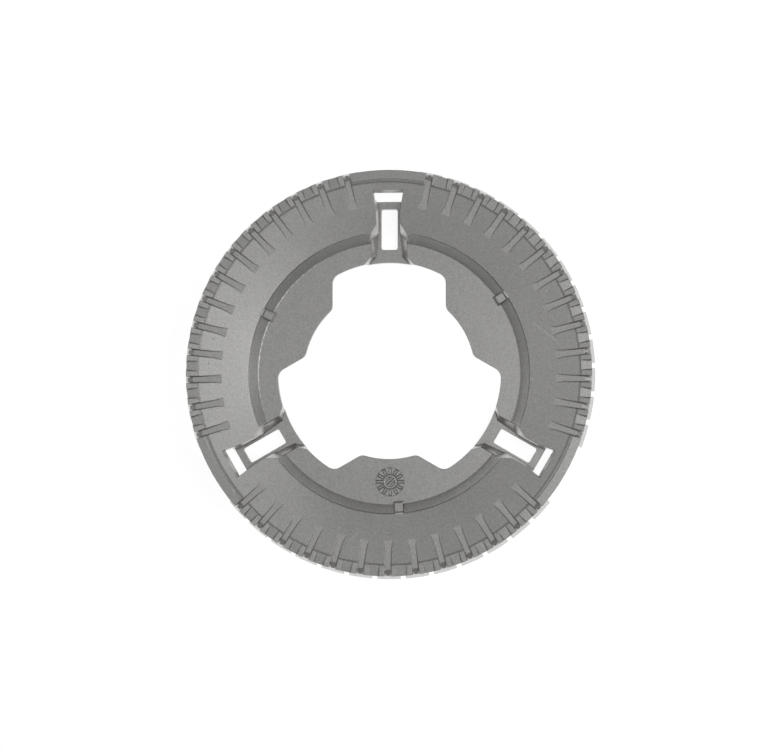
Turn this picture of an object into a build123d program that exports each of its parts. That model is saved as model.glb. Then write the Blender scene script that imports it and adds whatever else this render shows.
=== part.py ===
"""Gas burner head: one aluminium die casting. Millimetres, flame side up, resting on its arms at z = 0."""
import math
import os

from build123d import *

# Rim, sloping ring, step and flange, seen from above and counted inward from the outside
rim_radius = 66.0
rim_width = 2.9
rim_wall_run = 0.85
ring_width = 16.2
step_edge_run = 0.25
step_run = 2.7
flange_width = 6.42
tab_reach = 8.53

# Levels, counted down from the top of the rim
rim_wall_height = 0.85
ring_fall = 2.9
step_edge_fall = 0.6
step_fall = 2.4
channel_depth = 3.0

# Rounded edges of the plain rim and of the foot of the step
rim_round = 0.45
step_fillet = 0.7

# Wall thicknesses of the casting
skin = 2.4
skirt_wall = 2.6
skirt_height = 7.85
arm_wall = 2.8
arm_floor = 2.2

# Three-lobed hole
lobe_half_width = 18.65
lobe_corner_radius = 3.6
tab_corner_radius = 3.0

# Three arms, each with a channel from the hole out under the ring
arm_count = 3
first_arm_angle = 90.0
arm_end_from_rim = 9.2
channel_inner_half = 4.5
channel_neck_half = 3.45
channel_end_half = 3.6
channel_draft = 4.0
neck_from_ring = 2.35

# Mouth: the wider part of the channel through the flange, with two facets toward the ring
mouth_half = 6.0
mouth_facet_rise = 60.0
mouth_facet_turn = 57.0
mouth_corner = 2.0

# Opening of the ring past the end of the channel, and the slot in the channel's floor
opening_from_rim = 6.3
opening_half = 5.0
opening_draft = 5.0
opening_end_draft = 15.0
slot_width = 5.37
slot_length = 13.5
slot_corner_radius = 0.7
slot_from_hole = 4.2

# Flame ports, in three groups between the plain stretches of rim over the arms
ports_per_group = 13
plain_rim_angle = 24.0
groove_length = 11.4
groove_flare_length = 2.6
groove_flare_width = 2.9
groove_inner_width = 2.15
groove_outer_width = 1.6
groove_slope = 4.0
groove_draft = 14.0
outlet_width = 2.1
outlet_floor = 1.1
outlet_depth = 0.9
outlet_fall_angle = 30.0
outlet_from_rim = 2.0

# Rim between the ports of a group: it leans inward, with a flat recess between neighbouring ports
crown_slope = 7.0
crown_drop = 0.1
recess_inner_width = 3.05
recess_outer_width = 2.6
recess_depth = 0.7
recess_draft = 35.0

# Lip below each port on the outside of the rim
lip_reach = 1.4
lip_drop = 3.6
lip_gap = 1.75

# Three locating pads on the step
pad_turn = 4.0
pad_width = 2.8
pad_reach = 1.0
pad_below_ring = 0.55
pad_draft = 10.0

# How far cutters run past the surface they open, and joined solids run into each other
cut_over = 1.0
join_over = 0.5

# Radii and levels that follow from the sizes above
rim_inner = rim_radius - rim_width
ring_outer = rim_inner - rim_wall_run
ring_inner = ring_outer - ring_width
step_top_radius = ring_inner - step_edge_run
step_foot = step_top_radius - step_run
lobe_radius = step_foot - flange_width
tab_radius = lobe_radius - tab_reach
skirt_inner = rim_radius - skirt_wall
flange_inside = tab_radius - cut_over

floor_top = arm_floor
flange_top = floor_top + channel_depth
step_top = flange_top + step_fall
ring_low = step_top + step_edge_fall
ring_high = ring_low + ring_fall
rim_top = ring_high + rim_wall_height
skirt_bottom = rim_top - skirt_height
cut_top = rim_top + cut_over

ring_angle = math.atan2(ring_fall, ring_width)
step_angle = math.atan2(step_fall, step_run)
arm_pitch = 360.0 / arm_count
arm_angles = [first_arm_angle + arm_pitch * n for n in range(arm_count)]
tab_angles = [angle + arm_pitch / 2 for angle in arm_angles]
group_angle = arm_pitch - plain_rim_angle
port_pitch = group_angle / (ports_per_group - 1)


def turned(angle, shape):
    """A shape drawn along +X, turned about the axis of the head."""
    return Rot(0, 0, angle) * shape


def point_at(angle, radius, side, level):
    """A point drawn along +X at a radius, a step to the side and a level, turned about the axis."""
    return Vector(radius, side, level).rotate(Axis.Z, angle)


def ring_level(radius):
    """Height of the sloping ring at a radius."""
    return ring_low + (radius - ring_inner) * math.tan(ring_angle)


def under(radius, level, angle_in, angle_out):
    """Corner of the underside, one skin below a corner of the top between two slopes."""
    middle = (angle_in + angle_out) / 2
    reach = skin / math.cos((angle_out - angle_in) / 2)
    return radius + reach * math.sin(middle), level - reach * math.cos(middle)


def even_plan(*stations):
    """Plan along +X, even about the X axis, through half widths at given places."""
    other_side = [(place, -half) for place, half in reversed(stations)]
    return make_face(Polyline(*stations, *other_side, close=True))


def drafted(prism, angle, true_plane=Plane.XY):
    """A prism along +X that opens upward by a draft angle on its long sides, true to size in a plane."""
    sides = prism.faces().filter_by(lambda face: abs(face.normal_at().Y) > 0.5)
    return draft(sides, true_plane, -angle)


def sloped_plane(radius, level, slope):
    """Plane through a radius and level on the +X side that rises outward by a slope in degrees."""
    tilt = math.radians(slope)
    return Plane(
        origin=(radius, 0, level),
        x_dir=(math.cos(tilt), 0, math.sin(tilt)),
        z_dir=(-math.sin(tilt), 0, math.cos(tilt)))


# Turned section of the casting: flange, step, sloping ring, rim and skirt
ring_under = ring_level(skirt_inner) - skin / math.cos(ring_angle)
section = make_face(Polyline(
    (flange_inside, flange_top),
    (step_foot, flange_top),
    (step_top_radius, step_top),
    (ring_inner, ring_low),
    (ring_outer, ring_high),
    (rim_inner, rim_top),
    (rim_radius, rim_top),
    (rim_radius, skirt_bottom),
    (skirt_inner, skirt_bottom),
    (skirt_inner, ring_under),
    under(ring_inner, ring_low, step_angle, ring_angle),
    under(step_foot, flange_top, 0, step_angle),
    (flange_inside, flange_top - skin),
    close=True))
foot_corner = section.vertices().sort_by_distance((step_foot, flange_top, 0))[0]
section = fillet(foot_corner, step_fillet)
head = revolve(Plane.XZ * section, Axis.Z)

# Arms: the space under flange and ring is filled down to the rest level along three bars
arm_end = rim_radius - arm_end_from_rim
arm_half = channel_inner_half + arm_wall
arm_section = make_face(Polyline(
    (flange_inside, 0),
    (flange_inside, flange_top - join_over),
    (step_foot, flange_top - join_over),
    (ring_inner, step_top - join_over),
    (arm_end + join_over, ring_level(arm_end) - join_over),
    (arm_end + join_over, 0),
    close=True))
arm_body = revolve(Plane.XZ * arm_section, Axis.Z)
arm_plan = even_plan((flange_inside, arm_half), (arm_end, arm_half))
arm_corners = arm_plan.vertices().sort_by(Axis.X)[-2:]
arm_plan = fillet(arm_corners, arm_wall)
for angle in arm_angles:
    head += turned(angle, arm_body & extrude(arm_plan, rim_top))

# Hole: a circle between the tabs and three square-sided lobes, with rounded corners
lobe = Circle(lobe_radius) & Pos(lobe_radius, 0) * Rectangle(2 * lobe_radius, 2 * lobe_half_width)
hole = Circle(tab_radius)
for angle in arm_angles:
    hole += turned(angle, lobe)
hole = offset(hole, tab_corner_radius, kind=Kind.INTERSECTION)
hole = offset(hole, -tab_corner_radius, kind=Kind.ARC)
lobe_corners = hole.vertices().group_by(lambda corner: round(corner.center().length, 2))[-1]
hole = fillet(lobe_corners, lobe_corner_radius)
head -= extrude(hole, rim_top)

# Channel of one arm, drawn along +X, from the hole past the arm's end
neck_radius = ring_inner + neck_from_ring
channel_plan = even_plan(
    (flange_inside, channel_inner_half),
    (neck_radius, channel_neck_half),
    (arm_end + cut_over, channel_end_half))
channel = Pos(0, 0, floor_top) * drafted(extrude(channel_plan, cut_top - floor_top), channel_draft)
neck_height = ring_level(neck_radius) - floor_top
neck_top_half = channel_neck_half + neck_height * math.tan(math.radians(channel_draft))

# Mouth: sloping sides through the flange, closed toward the ring by two facets that rise outward
mouth_flare = (mouth_half - channel_inner_half) / channel_depth
mouth_top_half = channel_inner_half + mouth_flare * (cut_top - floor_top)
mouth_section = make_face(Polyline(
    (-channel_inner_half, floor_top),
    (-mouth_top_half, cut_top),
    (mouth_top_half, cut_top),
    (channel_inner_half, floor_top),
    close=True))
mouth_start = Plane(origin=(flange_inside, 0, 0), x_dir=(0, 1, 0), z_dir=(1, 0, 0))
facet_tip = neck_radius + join_over
mouth_end = facet_tip + cut_over
mouth_bar = extrude(mouth_start * mouth_section, mouth_end - flange_inside)
facet_turn = math.tan(math.radians(mouth_facet_turn))
facet_rise = math.tan(math.radians(mouth_facet_rise))
facet_back = flange_inside - (cut_top - floor_top) / facet_rise
facet_plan = even_plan(
    (facet_back, neck_top_half + (facet_tip - facet_back) / facet_turn),
    (mouth_end, neck_top_half + (facet_tip - mouth_end) / facet_turn))
facet_shift = neck_height / facet_rise
facet_length = (cut_top - floor_top) / math.sin(math.radians(mouth_facet_rise))
facets = extrude(Pos(-facet_shift, 0, floor_top) * facet_plan, facet_length, dir=(1, 0, facet_rise))
mouth = mouth_bar & facets

# Opening of the ring past the arm's end, wider at the top than underneath
opening_end = rim_radius - opening_from_rim
opening_top = Plane.XY.offset(ring_level(opening_end) - floor_top)
opening_plan = even_plan((neck_radius, channel_neck_half), (opening_end, opening_half))
opening = drafted(extrude(opening_plan, cut_top - floor_top), opening_draft, opening_top)
opening = draft(opening.faces().sort_by(Axis.X)[-1], opening_top, -opening_end_draft)
opening = Pos(0, 0, floor_top) * opening

# Slot in the floor of the channel
slot_middle = lobe_radius + slot_from_hole + slot_length / 2
slot_plan = Pos(slot_middle, 0, -cut_over) * RectangleRounded(slot_length, slot_width, slot_corner_radius)
slot = extrude(slot_plan, floor_top + 2 * cut_over)
for angle in arm_angles:
    head -= [turned(angle, cutter) for cutter in (channel, mouth, opening, slot)]

# Chamfers where the sloping sides of each mouth run out at the hole
mouth_middle = (channel_inner_half + mouth_half) / 2
mouth_level = (floor_top + flange_top) / 2
mouth_edge_radius = math.sqrt(lobe_radius**2 - mouth_middle**2)
corner_edges = []
for angle in arm_angles:
    for side in (-mouth_middle, mouth_middle):
        corner = point_at(angle, mouth_edge_radius, side, mouth_level)
        corner_edges.append(head.edges().sort_by_distance(corner)[0])
head = chamfer(corner_edges, mouth_corner)

# Locating pads on the step
pad_top = ring_low - pad_below_ring
pad_length = ring_inner - step_foot + pad_reach
pad_base = flange_top - join_over / 2
pad_plan = Pos(ring_inner - pad_length / 2, 0, pad_base) * Rectangle(pad_length, pad_width)
pad = extrude(pad_plan, pad_top - pad_base, taper=pad_draft)
for angle in tab_angles:
    head += turned(angle + pad_turn, pad)

# Flame port, drawn along +X: a groove that widens inward and an outlet that falls outward
groove_start = rim_radius - groove_length
groove_floor = sloped_plane(groove_start, ring_level(groove_start), groove_slope)
flare_growth = (groove_flare_width - groove_inner_width) / 2 / groove_flare_length
groove_plan = even_plan(
    (-cut_over, groove_flare_width / 2 + cut_over * flare_growth),
    (groove_flare_length, groove_inner_width / 2),
    (groove_length + cut_over, groove_outer_width / 2))
groove = groove_floor * drafted(extrude(groove_plan, rim_wall_height + ring_fall), groove_draft)

outlet_tip = rim_radius - outlet_from_rim
outlet_level = ring_level(groove_start) + (outlet_tip - groove_start) * math.tan(math.radians(groove_slope))
outlet_fall = math.tan(math.radians(outlet_fall_angle))
outlet_back = outlet_tip - (cut_top - outlet_level) / outlet_fall
outlet_section = make_face(Polyline(
    (-outlet_floor / 2, 0),
    (-outlet_width / 2, outlet_depth),
    (-outlet_width / 2, skirt_height),
    (outlet_width / 2, skirt_height),
    (outlet_width / 2, outlet_depth),
    (outlet_floor / 2, 0),
    close=True))
outlet_face = Plane(origin=(outlet_back, 0, cut_top), x_dir=(0, 1, 0), z_dir=(1, 0, 0)) * outlet_section
outlet_run = (rim_radius + cut_over - outlet_back) / math.cos(math.radians(outlet_fall_angle))
outlet = extrude(outlet_face, outlet_run, dir=(1, 0, -outlet_fall))
port = groove + outlet

# Inward lean of the rim along one group of ports
crown_profile = Pos(rim_radius, rim_top - crown_drop) * Rot(0, 0, crown_slope) * Rectangle(
    2 * (rim_width + cut_over), cut_over, align=(Align.CENTER, Align.MIN))
crown = turned(-group_angle / 2, revolve(Plane.XZ * crown_profile, Axis.Z, group_angle))

# Recess in the rim between two ports
recess_growth = (recess_inner_width - recess_outer_width) / 2 / rim_width
recess_plan = even_plan(
    (rim_inner - cut_over, recess_inner_width / 2 + cut_over * recess_growth),
    (rim_radius + cut_over, recess_outer_width / 2 - cut_over * recess_growth))
recess = Pos(0, 0, rim_top - recess_depth) * drafted(
    extrude(recess_plan, recess_depth + cut_over), recess_draft)

# Ports and recesses of the three groups
rim_cuts = []
port_angles = []
for angle in tab_angles:
    rim_cuts.append(turned(angle, crown))
    for n in range(ports_per_group):
        port_angle = angle - group_angle / 2 + port_pitch * n
        port_angles.append(port_angle)
        rim_cuts.append(turned(port_angle, port))
        if n > 0:
            rim_cuts.append(turned(port_angle - port_pitch / 2, recess))
head -= rim_cuts

# Rounded inner edge of the plain stretches of rim
plain_edges = []
for angle in arm_angles:
    edge_middle = point_at(angle, rim_inner, 0, rim_top)
    plain_edges.append(head.edges().sort_by_distance(edge_middle)[0])
head = fillet(plain_edges, rim_round)

# Lips on the outside of the rim, one below each port, wider toward the bottom
lip_angle = port_pitch - math.degrees(lip_gap / rim_radius)
lip_section = make_face(Polyline(
    (rim_radius - join_over, skirt_bottom),
    (rim_radius + lip_reach, skirt_bottom),
    (rim_radius, rim_top - lip_drop),
    (rim_radius - join_over, rim_top - lip_drop),
    close=True))
lip = turned(-lip_angle / 2, revolve(Plane.XZ * lip_section, Axis.Z, lip_angle))
head += [turned(port_angle, lip) for port_angle in port_angles]

os.makedirs("parts", exist_ok=True)
head.label = "burner_head"
export_step(head, "parts/burner_head.step")
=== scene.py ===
"""Gas burner head on a pale studio floor, seen from above. Metres, in the frame of the casting."""

import math

import bmesh
import bpy
from mathutils import Matrix, Vector


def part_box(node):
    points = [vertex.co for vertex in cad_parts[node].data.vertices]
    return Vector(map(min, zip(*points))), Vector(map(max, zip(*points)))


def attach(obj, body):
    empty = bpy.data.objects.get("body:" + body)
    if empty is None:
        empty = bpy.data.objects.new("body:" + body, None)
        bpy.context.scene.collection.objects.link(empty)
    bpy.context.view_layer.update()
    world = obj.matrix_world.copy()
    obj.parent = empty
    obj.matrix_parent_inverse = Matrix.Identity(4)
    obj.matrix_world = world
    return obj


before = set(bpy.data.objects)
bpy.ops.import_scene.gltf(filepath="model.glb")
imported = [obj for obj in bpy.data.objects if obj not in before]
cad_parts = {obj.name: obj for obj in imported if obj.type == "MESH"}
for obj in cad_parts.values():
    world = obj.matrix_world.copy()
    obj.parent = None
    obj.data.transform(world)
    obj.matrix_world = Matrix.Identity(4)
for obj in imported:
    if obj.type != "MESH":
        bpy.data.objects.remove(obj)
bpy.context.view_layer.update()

MM = 0.001

# The picture, and where the rim lies in it
PICTURE_WIDTH = 780
PICTURE_HEIGHT = 750
RIM_CENTRE_PX = (387.75, 372.2)
RIM_RADIUS_PX = 203.55
RIM_RADIUS = 66.0 * MM
RIM_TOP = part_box("burner_head")[1].z

# Camera: nearly straight above, leaning a little to the right and to the front
CAMERA_DISTANCE = 0.60
CAMERA_LEAN = math.radians(4.2)
CAMERA_BEARING = math.radians(-36)
CAMERA_CLIP = 0.01
SENSOR_WIDTH = 36.0

# Surface of the casting: grain and larger patches
METAL_COLOUR = (0.620, 0.615, 0.600)
METAL_ROUGHNESS = 0.38
ROUGHNESS_SPREAD = 0.10
NOISE_DETAIL = 3.0
NOISE_ROUGHNESS = 0.65
GRAIN_SIZE = 0.60 * MM
GRAIN_CONTRAST = 0.75
GRAIN_HEIGHT = 0.02 * MM
GRAIN_STRENGTH = 0.5
PATCH_SIZE = 14.0 * MM
PATCH_CONTRAST = 0.16

# Painted shade in creases and along edges: creases keep a share of their tone by ambient occlusion; edges
# lose a share where the rounded normal has turned (1 - cosine)
CREASE_SHADE_REACH = 0.50 * MM
CREASE_SHADE_TONE = 0.30
CREASE_SAMPLES = 8
EDGE_ROUND = 0.22 * MM
EDGE_TURN = 0.25
EDGE_SHADE_TONE = 0.40
EDGE_SAMPLES = 6

# Wear on the ring: fine bright scratches by their two ends, and bright and dark spots, as (x, y) in mm
SCRATCHES = (
    ((54.6, 10.2), (51.4, 12.6)),
    ((51.4, 12.6), (48.5, 15.0)),
    ((48.5, 15.0), (47.2, 16.4)),
    ((-12.1, -54.3), (-9.7, -52.0)),
    ((-16.3, -50.7), (-15.6, -49.8)))
# Half width of the scratches and of the painted highlights on the treads
SCRATCH_AND_HIGHLIGHT_HALF = 0.22 * MM
SCRATCH_TONE = 0.34
BRIGHT_SPOTS = ((51.4, 26.4), (46.8, -2.3))
DARK_SPOTS = ((-57.2, 11.1), (-58.8, 3.1))
SPOT_RADIUS = 0.45 * MM
SPOT_TONE = 0.55
# Level above which the scratches, spots and painted highlights show
WEAR_AND_HIGHLIGHT_LEVEL = 8.1 * MM

# Painted shade: a dark line along the foot of the rim
FOOT_RADIUS = 62.2 * MM
FOOT_HALF = 0.60 * MM
FOOT_LEVEL = 10.8 * MM
FOOT_SHADE_TONE = -0.28

# Covers of the locating pads, drawn along +X: blocks that widen downward, and a tread behind each
PAD_ANGLES = (33.6, 154.2, 274.3)
PAD_INNER = 42.0 * MM
PAD_OUTER = 45.5 * MM
PAD_BACK = 0.50 * MM
PAD_TOP = 7.72 * MM
PAD_FOOT = 5.0 * MM
PAD_TOP_HALF = 1.32 * MM
PAD_FOOT_HALF = 1.66 * MM
TREAD_INNER = 45.55 * MM
TREAD_OUTER = 46.45 * MM
TREAD_TOP = 8.30 * MM
TREAD_FOOT = 7.2 * MM
TREAD_HALF = 1.38 * MM
PAD_ROUND = 0.14 * MM
PAD_ROUND_STEPS = 3
PAD_ROUND_PROFILE = 0.5

# Painted highlight: a bright line along each tread, in mm
HIGHLIGHT_RADIUS = 46.1
HIGHLIGHT_HALF_LENGTH = 1.15
PAINTED_HIGHLIGHT_TONE = 0.45

# Sloping side walls of the arm mouths, drawn along +X: they narrow the floor toward the neck
ARM_ANGLES = (90, 210, 330)
MOUTH_START = 38.3 * MM
MOUTH_END = 47.6 * MM
MOUTH_FLOOR = 2.2 * MM
MOUTH_TOP = 5.2 * MM
MOUTH_START_HALF = 4.25 * MM
MOUTH_END_HALF = 3.5 * MM
MOUTH_TOP_HALF = 5.86 * MM
MOUTH_SUNK = 0.5 * MM

# Date dial on the front tab: a low round plate with grooves round its bars
DIAL_CENTRE = Vector((0.35, -35.6, 0)) * MM
DIAL_LEVEL = 5.2 * MM
DIAL_RADIUS = 4.65 * MM
DIAL_STEPS = 160
DIAL_HEIGHT = 0.27 * MM
DIAL_BASE = 0.03 * MM
DIAL_EDGE_ROUND = 0.05 * MM
GROOVE_HALF = 0.16 * MM
BAR_COUNT = 12
BAR_HALF = 0.41 * MM
BAR_START = 2.35 * MM
BAR_END = 4.45 * MM

# Its sunk hub, with a slanted pointer of two strokes
HUB_RADIUS = 1.72 * MM
HUB_WALL = 0.32 * MM
POINTER_TURN = math.radians(45)
POINTER_OFFSET = 0.46 * MM
POINTER_HALF = 0.20 * MM

# Studio
FLOOR_RADIUS = 3.0
FLOOR_SEGMENTS = 96
FLOOR_MERGE = 0.01 * MM
SWEEP_RADIUS = 1.2
SWEEP_RISE = math.radians(50)
SWEEP_STEPS = 16
FLOOR_GLOW = 0.84
FLOOR_COLOUR = 0.52
WHITE = (1.0, 1.0, 1.0, 1.0)
WORLD_STRENGTH = 0.18
LAMP_HEIGHT = 1.00
LAMP_WIDTH = 0.236
SIDE_LAMP_LENGTH = 2.00
RIGHT_LAMP_PLACE = (1.20, 0.0)
RIGHT_LAMP_POWER = 4.2
LEFT_LAMP_PLACE = (-1.05, 0.0)
LEFT_LAMP_POWER = 0.75
TOP_LAMP_PLACE = (-0.10, 0.12)
TOP_LAMP_POWER = 0.12
TOP_LAMP_LENGTH = 0.50


def feed(tree, node, values):
    """Gives a node's inputs, in order, a socket to follow or a value of their own."""
    for socket, value in zip(node.inputs, values):
        if isinstance(value, bpy.types.NodeSocket):
            tree.links.new(value, socket)
        else:
            socket.default_value = value


def add_node(tree, kind, **values):
    """A new node with its input values, named by socket."""
    node = tree.nodes.new(kind)
    for name, value in values.items():
        node.inputs[name.replace("_", " ")].default_value = value
    return node


def math_node(tree, operation, *values):
    """A math node on sockets or numbers; returns its output."""
    node = tree.nodes.new("ShaderNodeMath")
    node.operation = operation
    feed(tree, node, values)
    return node.outputs[0]


def vector_node(tree, operation, *values):
    """A vector math node on sockets or vectors; returns the node."""
    node = tree.nodes.new("ShaderNodeVectorMath")
    node.operation = operation
    feed(tree, node, values)
    return node


def scaled(tree, vector, factor):
    """A fixed vector times a socket's value; returns its output."""
    node = vector_node(tree, "SCALE", vector)
    tree.links.new(factor, node.inputs["Scale"])
    return node.outputs["Vector"]


def new_tree(name):
    """A material with an empty node tree and an output."""
    material = bpy.data.materials.new(name)
    material.use_nodes = True
    tree = material.node_tree
    tree.nodes.clear()
    return material, tree, tree.nodes.new("ShaderNodeOutputMaterial")


def noise(tree, place, size):
    """Noise with features of a given size; returns its value."""
    node = add_node(
        tree, "ShaderNodeTexNoise", Scale=1 / size, Detail=NOISE_DETAIL, Roughness=NOISE_ROUGHNESS)
    tree.links.new(place, node.inputs["Vector"])
    return node.outputs["Fac"]


def tone(tree, value, contrast):
    """A noise value turned into a tone about 1; returns it."""
    return math_node(tree, "MULTIPLY_ADD", value, contrast, 1 - contrast / 2)


def fade(tree, distance, reach):
    """1 at no distance, 0 from a reach on; returns it."""
    node = add_node(tree, "ShaderNodeMapRange", From_Max=reach, To_Min=1.0, To_Max=0.0)
    node.interpolation_type = "SMOOTHSTEP"
    tree.links.new(distance, node.inputs["Value"])
    return node.outputs["Result"]


def scratch_and_highlight_mask(tree, flat_place, start, end):
    """Mask of a straight line with round ends, for a scratch or a tread's painted highlight; returns it.
    """
    start = Vector((*start, 0)) * MM
    along = Vector((*end, 0)) * MM - start
    offset = vector_node(tree, "SUBTRACT", flat_place, start).outputs["Vector"]
    share = vector_node(tree, "DOT_PRODUCT", offset, along / along.length_squared).outputs["Value"]
    near = math_node(tree, "MINIMUM", math_node(tree, "MAXIMUM", share, 0.0), 1.0)
    foot = scaled(tree, along, near)
    return fade(tree, vector_node(tree, "DISTANCE", offset, foot).outputs["Value"], SCRATCH_AND_HIGHLIGHT_HALF)


def spot(tree, flat_place, middle):
    """Mask of a round spot; returns it."""
    distance = vector_node(tree, "DISTANCE", flat_place, Vector((*middle, 0)) * MM).outputs["Value"]
    return fade(tree, distance, SPOT_RADIUS)


def painted_highlight_ends(angle):
    """Ends of the painted highlight along a tread, in mm."""
    turn = math.radians(angle)
    out = Vector((math.cos(turn), math.sin(turn))) * HIGHLIGHT_RADIUS
    across = Vector((-math.sin(turn), math.cos(turn))) * HIGHLIGHT_HALF_LENGTH
    return out - across, out + across


def wear_and_painted_light(tree, place):
    """Tone of the scratches and spots, of the painted highlights on the treads and of the painted shade
    line at the rim's foot; 1 elsewhere.
    """
    flat_place = vector_node(tree, "MULTIPLY", place, (1.0, 1.0, 0.0)).outputs["Vector"]
    marks = [(scratch_and_highlight_mask(tree, flat_place, *ends), SCRATCH_TONE) for ends in SCRATCHES]
    # Painted highlight: a bright line along each tread
    marks += [(scratch_and_highlight_mask(tree, flat_place, *painted_highlight_ends(angle)), PAINTED_HIGHLIGHT_TONE) for angle in PAD_ANGLES]
    marks += [(spot(tree, flat_place, middle), SPOT_TONE) for middle in BRIGHT_SPOTS]
    marks += [(spot(tree, flat_place, middle), -SPOT_TONE) for middle in DARK_SPOTS]
    split = tree.nodes.new("ShaderNodeSeparateXYZ")
    tree.links.new(place, split.inputs[0])
    top = math_node(tree, "GREATER_THAN", split.outputs["Z"], WEAR_AND_HIGHLIGHT_LEVEL)
    total = 1.0
    for mask, strength in marks:
        total = math_node(tree, "MULTIPLY_ADD", math_node(tree, "MULTIPLY", mask, top), strength, total)
    # Painted shade: a dark line along the foot of the rim wall
    radius = vector_node(tree, "LENGTH", flat_place).outputs["Value"]
    off_foot = math_node(tree, "ABSOLUTE", math_node(tree, "SUBTRACT", radius, FOOT_RADIUS))
    high = math_node(tree, "GREATER_THAN", split.outputs["Z"], FOOT_LEVEL)
    foot = math_node(tree, "MULTIPLY", fade(tree, off_foot, FOOT_HALF), high)
    return math_node(tree, "MULTIPLY_ADD", foot, FOOT_SHADE_TONE, total)


def cast_aluminium(name, edge_round):
    """Bead-blasted die casting: fine even grain, faint patches, softly rounded edges, and painted shade in
    creases and along edges.
    """
    material, tree, output = new_tree(name)
    place = tree.nodes.new("ShaderNodeTexCoord").outputs["Object"]
    grain = noise(tree, place, GRAIN_SIZE)
    patches = noise(tree, place, PATCH_SIZE)
    shade = math_node(
        tree, "MULTIPLY", tone(tree, grain, GRAIN_CONTRAST), tone(tree, patches, PATCH_CONTRAST))
    shade = math_node(tree, "MULTIPLY", shade, wear_and_painted_light(tree, place))

    edges = add_node(tree, "ShaderNodeBevel", Radius=edge_round)
    edges.samples = EDGE_SAMPLES
    facing = tree.nodes.new("ShaderNodeNewGeometry").outputs["Normal"]
    alike = vector_node(tree, "DOT_PRODUCT", edges.outputs["Normal"], facing).outputs["Value"]
    # Painted shade: the colour darkens along edges, where the rounded normal turns from the surface's own
    flat = fade(tree, math_node(tree, "SUBTRACT", 1.0, alike), EDGE_TURN)
    edge_shade_share = math_node(tree, "MULTIPLY_ADD", flat, EDGE_SHADE_TONE, 1 - EDGE_SHADE_TONE)
    shade = math_node(tree, "MULTIPLY", shade, edge_shade_share)

    # Painted shade: ambient occlusion darkens the colour in creases and hollows
    crease_shade = add_node(tree, "ShaderNodeAmbientOcclusion", Distance=CREASE_SHADE_REACH)
    crease_shade.samples = CREASE_SAMPLES
    unshaded_share = math_node(tree, "MULTIPLY_ADD", crease_shade.outputs["AO"], 1 - CREASE_SHADE_TONE, CREASE_SHADE_TONE)
    colour = scaled(tree, METAL_COLOUR, math_node(tree, "MULTIPLY", shade, unshaded_share))

    smoothest = METAL_ROUGHNESS - ROUGHNESS_SPREAD / 2
    rough = math_node(tree, "MULTIPLY_ADD", patches, ROUGHNESS_SPREAD, smoothest)

    bump = add_node(tree, "ShaderNodeBump", Strength=GRAIN_STRENGTH, Distance=GRAIN_HEIGHT)
    tree.links.new(grain, bump.inputs["Height"])
    tree.links.new(edges.outputs["Normal"], bump.inputs["Normal"])

    shader = add_node(tree, "ShaderNodeBsdfPrincipled", Metallic=1.0)
    tree.links.new(colour, shader.inputs["Base Color"])
    tree.links.new(rough, shader.inputs["Roughness"])
    tree.links.new(bump.outputs["Normal"], shader.inputs["Normal"])
    tree.links.new(shader.outputs["BSDF"], output.inputs["Surface"])
    return material


def floor_paint():
    """White floor that shows as a white ground and still takes the head's shadow."""
    material, tree, output = new_tree("studio_floor")
    rays = tree.nodes.new("ShaderNodeLightPath")
    seen = math_node(tree, "MAXIMUM", rays.outputs["Is Camera Ray"], rays.outputs["Is Glossy Ray"])
    seen = math_node(tree, "MAXIMUM", seen, rays.outputs["Is Transmission Ray"])
    glow = add_node(tree, "ShaderNodeEmission", Color=WHITE)
    tree.links.new(math_node(tree, "MULTIPLY", seen, FLOOR_GLOW), glow.inputs["Strength"])
    grey = (FLOOR_COLOUR, FLOOR_COLOUR, FLOOR_COLOUR, 1.0)
    matte = add_node(tree, "ShaderNodeBsdfDiffuse", Color=grey)
    both = tree.nodes.new("ShaderNodeAddShader")
    feed(tree, both, (glow.outputs[0], matte.outputs[0]))
    tree.links.new(both.outputs[0], output.inputs["Surface"])
    return material


def add_object(name, form, material):
    """An object in the scene from a finished form."""
    mesh = bpy.data.meshes.new(name)
    form.to_mesh(mesh)
    form.free()
    mesh.materials.append(material)
    item = bpy.data.objects.new(name, mesh)
    bpy.context.scene.collection.objects.link(item)
    return item


def add_piece(name, form, material):
    """A piece of the casting from a finished form."""
    piece = add_object(name, form, material)
    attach(piece, "root")


def join_rings(form, first, second):
    """Faces all round between two rings of as many corners."""
    for n in range(len(first)):
        m = (n + 1) % len(first)
        form.faces.new((first[n], first[m], second[m], second[n]))


def block(foot_plan, top_plan, turn):
    """Block between two plans, each (level, inner, outer, half width), with rounded top edges."""
    form = bmesh.new()
    rings = []
    for level, inner, outer, half in (foot_plan, top_plan):
        plan = ((inner, -half), (outer, -half), (outer, half), (inner, half))
        rings.append([form.verts.new(turn @ Vector((x, y, level))) for x, y in plan])
    foot, top = rings
    form.faces.new(top)
    form.faces.new(reversed(foot))
    join_rings(form, foot, top)
    upper = [edge for edge in form.edges if edge.verts[0] in top and edge.verts[1] in top]
    bmesh.ops.bevel(
        form, geom=upper, affect="EDGES",
        offset=PAD_ROUND, segments=PAD_ROUND_STEPS, profile=PAD_ROUND_PROFILE)
    return form


def pad_covers(material):
    """Blocks over the three locating pads, and the treads behind them."""
    pad_foot = (PAD_FOOT, PAD_INNER, PAD_OUTER, PAD_FOOT_HALF)
    pad_top = (PAD_TOP, PAD_INNER + PAD_BACK, PAD_OUTER, PAD_TOP_HALF)
    tread_foot = (TREAD_FOOT, TREAD_INNER, TREAD_OUTER, TREAD_HALF)
    tread_top = (TREAD_TOP, TREAD_INNER, TREAD_OUTER, TREAD_HALF)
    for number, angle in enumerate(PAD_ANGLES, 1):
        turn = Matrix.Rotation(math.radians(angle), 4, "Z")
        add_piece(f"pad_cover_{number}", block(pad_foot, pad_top, turn), material)
        add_piece(f"pad_tread_{number}", block(tread_foot, tread_top, turn), material)


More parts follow.
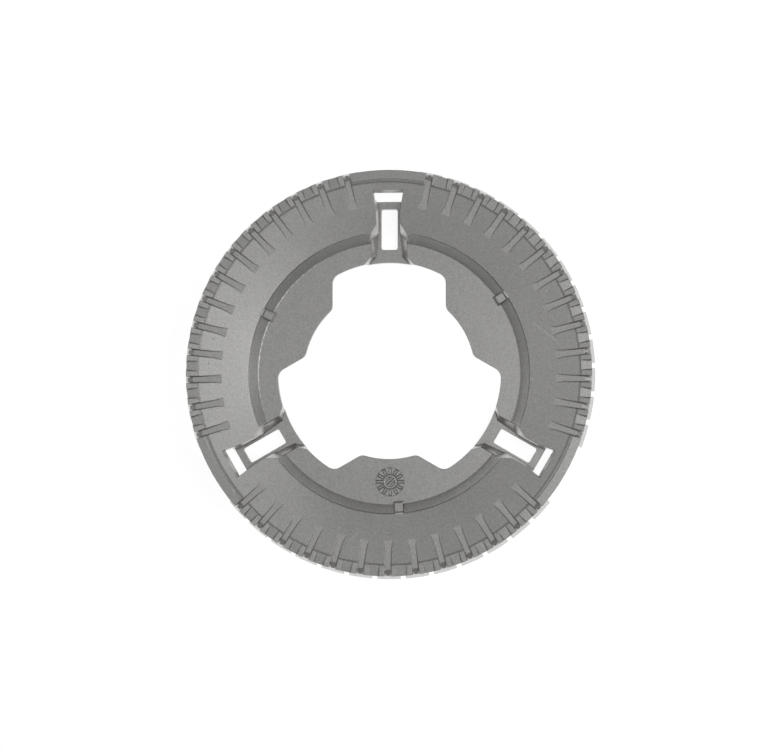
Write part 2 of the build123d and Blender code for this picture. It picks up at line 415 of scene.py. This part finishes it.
def mouth_wall(side, turn):
    """Sloping wall on one side of an arm's mouth, sunk into its floor and side."""
    form = bmesh.new()
    buried = MOUTH_TOP_HALF + MOUTH_SUNK
    rings = []
    for x, floor_half in ((MOUTH_START, MOUTH_START_HALF), (MOUTH_END, MOUTH_END_HALF)):
        outline = (
            (floor_half, MOUTH_FLOOR),
            (MOUTH_TOP_HALF, MOUTH_TOP),
            (buried, MOUTH_TOP - MOUTH_SUNK),
            (buried, MOUTH_FLOOR - MOUTH_SUNK),
            (floor_half, MOUTH_FLOOR - MOUTH_SUNK))
        rings.append([form.verts.new(turn @ Vector((x, side * y, z))) for y, z in outline])
    near, far = rings
    form.faces.new(near)
    form.faces.new(far)
    join_rings(form, near, far)
    bmesh.ops.recalc_face_normals(form, faces=form.faces)
    return form


def mouth_walls(material):
    """Two sloping walls in the mouth of each arm."""
    for number, angle in enumerate(ARM_ANGLES, 1):
        turn = Matrix.Rotation(math.radians(angle), 4, "Z")
        for side, name in ((1, "left"), (-1, "right")):
            add_piece(f"mouth_wall_{number}_{name}", mouth_wall(side, turn), material)


def dial_height(x, y):
    """Height of the date dial above the tab at a place counted from its middle."""
    radius = math.hypot(x, y)
    turn = 2 * math.pi / BAR_COUNT
    along = math.remainder(math.atan2(y, x), turn)
    bar = min(BAR_HALF - abs(radius * math.sin(along)), BAR_END - radius, radius - BAR_START)
    across = y * math.cos(POINTER_TURN) - x * math.sin(POINTER_TURN)
    hub = min(abs(abs(across) - POINTER_OFFSET) - POINTER_HALF, HUB_RADIUS - radius)
    sunk = min(max(1 - abs(bar) / GROOVE_HALF, hub / HUB_WALL, 0.0), 1.0)
    return DIAL_BASE + DIAL_HEIGHT * (1 - sunk)


def date_dial(material):
    """Relief of a mould's date insert, on a square grid; its border reaches just below the tab's face."""
    form = bmesh.new()
    step = 2 * DIAL_RADIUS / DIAL_STEPS
    grid = {}
    for i in range(DIAL_STEPS + 1):
        for j in range(DIAL_STEPS + 1):
            x = i * step - DIAL_RADIUS
            y = j * step - DIAL_RADIUS
            radius = math.hypot(x, y)
            if radius > DIAL_RADIUS + step:
                continue
            height = dial_height(x, y) if radius < DIAL_RADIUS else -DIAL_BASE
            grid[i, j] = form.verts.new(DIAL_CENTRE + Vector((x, y, DIAL_LEVEL + height)))
    for i, j in grid:
        corners = [grid.get(key) for key in ((i, j), (i + 1, j), (i + 1, j + 1), (i, j + 1))]
        if all(corners):
            form.faces.new(corners).smooth = True
    add_piece("date_dial", form, material)


def studio_floor():
    """Wide round floor, swept up at its edge."""
    form = bmesh.new()
    profile = [(0.0, 0.0)]
    for n in range(SWEEP_STEPS + 1):
        turn = SWEEP_RISE * n / SWEEP_STEPS
        profile.append((FLOOR_RADIUS + SWEEP_RADIUS * math.sin(turn), SWEEP_RADIUS * (1 - math.cos(turn))))
    line = [form.verts.new((x, 0, z)) for x, z in profile]
    edges = [form.edges.new(pair) for pair in zip(line, line[1:])]
    bmesh.ops.spin(
        form, geom=line + edges, axis=(0, 0, 1), angle=2 * math.pi, steps=FLOOR_SEGMENTS, use_merge=True)
    bmesh.ops.remove_doubles(form, verts=form.verts, dist=FLOOR_MERGE)
    bmesh.ops.recalc_face_normals(form, faces=form.faces)
    for face in form.faces:
        face.smooth = True
    floor = add_object("floor", form, floor_paint())


def look_at(place, target, up):
    """Matrix that puts a camera at a place, facing a target."""
    back = (place - target).normalized()
    right = up.cross(back).normalized()
    above = back.cross(right)
    turn = Matrix((right, above, back)).transposed()
    return Matrix.Translation(place) @ turn.to_4x4()


def add_lamp(name, place, length, power):
    """Long soft lamp above a place, facing down."""
    data = bpy.data.lights.new(name, "AREA")
    data.shape = "RECTANGLE"
    data.size = length
    data.size_y = LAMP_WIDTH
    data.energy = power
    lamp = bpy.data.objects.new(name, data)
    lamp.location = (*place, LAMP_HEIGHT)
    bpy.context.scene.collection.objects.link(lamp)


def add_camera():
    """Camera that shows the rim where the picture shows it."""
    per_px = RIM_RADIUS / RIM_RADIUS_PX
    aim = Vector((
        (PICTURE_WIDTH / 2 - RIM_CENTRE_PX[0]) * per_px,
        (RIM_CENTRE_PX[1] - PICTURE_HEIGHT / 2) * per_px,
        RIM_TOP))
    lean = Vector((
        math.sin(CAMERA_LEAN) * math.cos(CAMERA_BEARING),
        math.sin(CAMERA_LEAN) * math.sin(CAMERA_BEARING),
        math.cos(CAMERA_LEAN)))
    data = bpy.data.cameras.new("camera")
    data.sensor_fit = "HORIZONTAL"
    data.sensor_width = SENSOR_WIDTH
    data.lens = SENSOR_WIDTH * RIM_RADIUS_PX / PICTURE_WIDTH * CAMERA_DISTANCE / RIM_RADIUS
    data.clip_start = CAMERA_CLIP
    camera = bpy.data.objects.new("camera", data)
    camera.matrix_world = look_at(aim + CAMERA_DISTANCE * lean, aim, Vector((0, 1, 0)))
    bpy.context.scene.collection.objects.link(camera)
    bpy.context.scene.camera = camera


def add_world():
    """Even grey surroundings."""
    world = bpy.data.worlds.new("studio")
    world.use_nodes = True
    ground = world.node_tree.nodes["Background"]
    ground.inputs["Color"].default_value = WHITE
    ground.inputs["Strength"].default_value = WORLD_STRENGTH
    bpy.context.scene.world = world


aluminium = cast_aluminium("cast_aluminium_blasted", EDGE_ROUND)
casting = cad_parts["burner_head"]
casting.data.materials.clear()
casting.data.materials.append(aluminium)
pad_covers(aluminium)
mouth_walls(aluminium)
date_dial(cast_aluminium("cast_aluminium_relief", DIAL_EDGE_ROUND))
studio_floor()
add_lamp("lamp_right", RIGHT_LAMP_PLACE, SIDE_LAMP_LENGTH, RIGHT_LAMP_POWER)
add_lamp("lamp_left", LEFT_LAMP_PLACE, SIDE_LAMP_LENGTH, LEFT_LAMP_POWER)
add_lamp("lamp_top", TOP_LAMP_PLACE, TOP_LAMP_LENGTH, TOP_LAMP_POWER)
add_camera()
add_world()
bpy.context.scene.view_settings.view_transform = "Standard"
